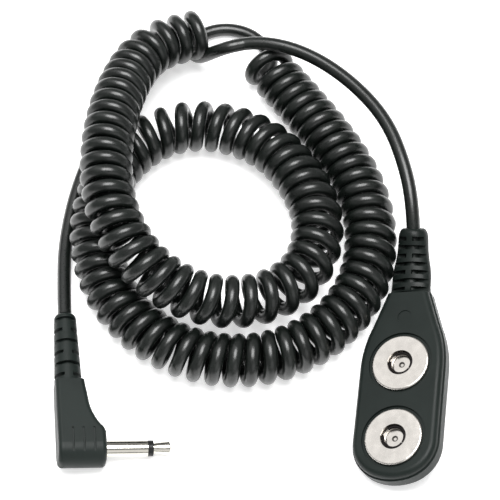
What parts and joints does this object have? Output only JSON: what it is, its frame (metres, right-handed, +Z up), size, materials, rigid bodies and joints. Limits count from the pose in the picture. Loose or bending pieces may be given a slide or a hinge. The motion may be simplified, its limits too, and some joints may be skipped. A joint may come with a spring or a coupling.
{
  "type": "esd grounding cord",
  "caption": "Coiled two-core grounding cord for an ESD wrist strap: flat two-socket snap connector at one end, right-angle mono plug at the other.",
  "frame": {"origin": "bottom centre of the snap connector's box, on the table it lies on; the cord and plug aren't counted", "axes": "+Z up from the table, +Y along the snap connector from its nose towards its cord, +X to the right of it"},
  "size_m": [0.0902, 0.1186, 0.0248],
  "materials": {
    "shell_plastic": "satin",
    "relief_plastic": "satin",
    "snap_nickel": "polished",
    "spring_steel": "satin",
    "tinned_brass": "satin",
    "resistor_lacquer": "gloss",
    "wire_insulation": "satin",
    "cord_pvc": "gloss",
    "plug_plastic": "matte",
    "plug_nickel": "polished",
    "insulator_plastic": "satin"
  },
  "bodies": {
    "connector_and_cord": {"back_shell": "shell_plastic", "coil": "cord_pvc", "connector_strain_relief": "relief_plastic", "connector_tail": "cord_pvc", "front_shell": "shell_plastic", "lower_conductor": "wire_insulation", "lower_link_wire": "wire_insulation", "lower_post": "snap_nickel", "lower_resistor": "resistor_lacquer", "lower_socket": "snap_nickel", "lower_terminal": "tinned_brass", "lower_washer": "snap_nickel", "plug_housing": "plug_plastic", "plug_insulator": "insulator_plastic", "plug_rear_insulator": "insulator_plastic", "plug_sleeve": "plug_nickel", "plug_strain_relief": "plug_plastic", "plug_tail": "cord_pvc", "plug_tip": "plug_nickel", "sleeve_conductor": "wire_insulation", "sleeve_terminal": "tinned_brass", "tip_conductor": "wire_insulation", "tip_terminal": "tinned_brass", "upper_conductor": "wire_insulation", "upper_post": "snap_nickel", "upper_resistor": "resistor_lacquer", "upper_socket": "snap_nickel", "upper_terminal": "tinned_brass", "upper_washer": "snap_nickel"},
    "upper_left_arm": {"upper_spring_left": "spring_steel"},
    "upper_right_arm": {"upper_spring_right": "spring_steel"},
    "lower_left_arm": {"lower_spring_left": "spring_steel"},
    "lower_right_arm": {"lower_spring_right": "spring_steel"}
  },
  "joints": [
    {"name": "upper_spring_left_opens", "type": "hinge", "parent": "connector_and_cord", "child": "upper_left_arm", "pos_m": [0.00086, -0.00467, 0.00862], "axis": [-0.3827, 0, 0.9239], "range_deg": [0, 4], "stiffness_Nm_per_rad": 0.002},
    {"name": "upper_spring_right_opens", "type": "hinge", "parent": "connector_and_cord", "child": "upper_right_arm", "pos_m": [0.00086, -0.00467, 0.00862], "axis": [-0.3827, 0, 0.9239], "range_deg": [-4, 0], "stiffness_Nm_per_rad": 0.002},
    {"name": "lower_spring_left_opens", "type": "hinge", "parent": "connector_and_cord", "child": "lower_left_arm", "pos_m": [0.00086, -0.02187, 0.00862], "axis": [-0.3827, 0, 0.9239], "range_deg": [0, 4], "stiffness_Nm_per_rad": 0.002},
    {"name": "lower_spring_right_opens", "type": "hinge", "parent": "connector_and_cord", "child": "lower_right_arm", "pos_m": [0.00086, -0.02187, 0.00862], "axis": [-0.3827, 0, 0.9239], "range_deg": [-4, 0], "stiffness_Nm_per_rad": 0.002}
  ],
  "couplings": [
    {"joint": "upper_spring_right_opens", "follows": "upper_spring_left_opens", "ratio": -1},
    {"joint": "lower_spring_right_opens", "follows": "lower_spring_left_opens", "ratio": -1}
  ]
}
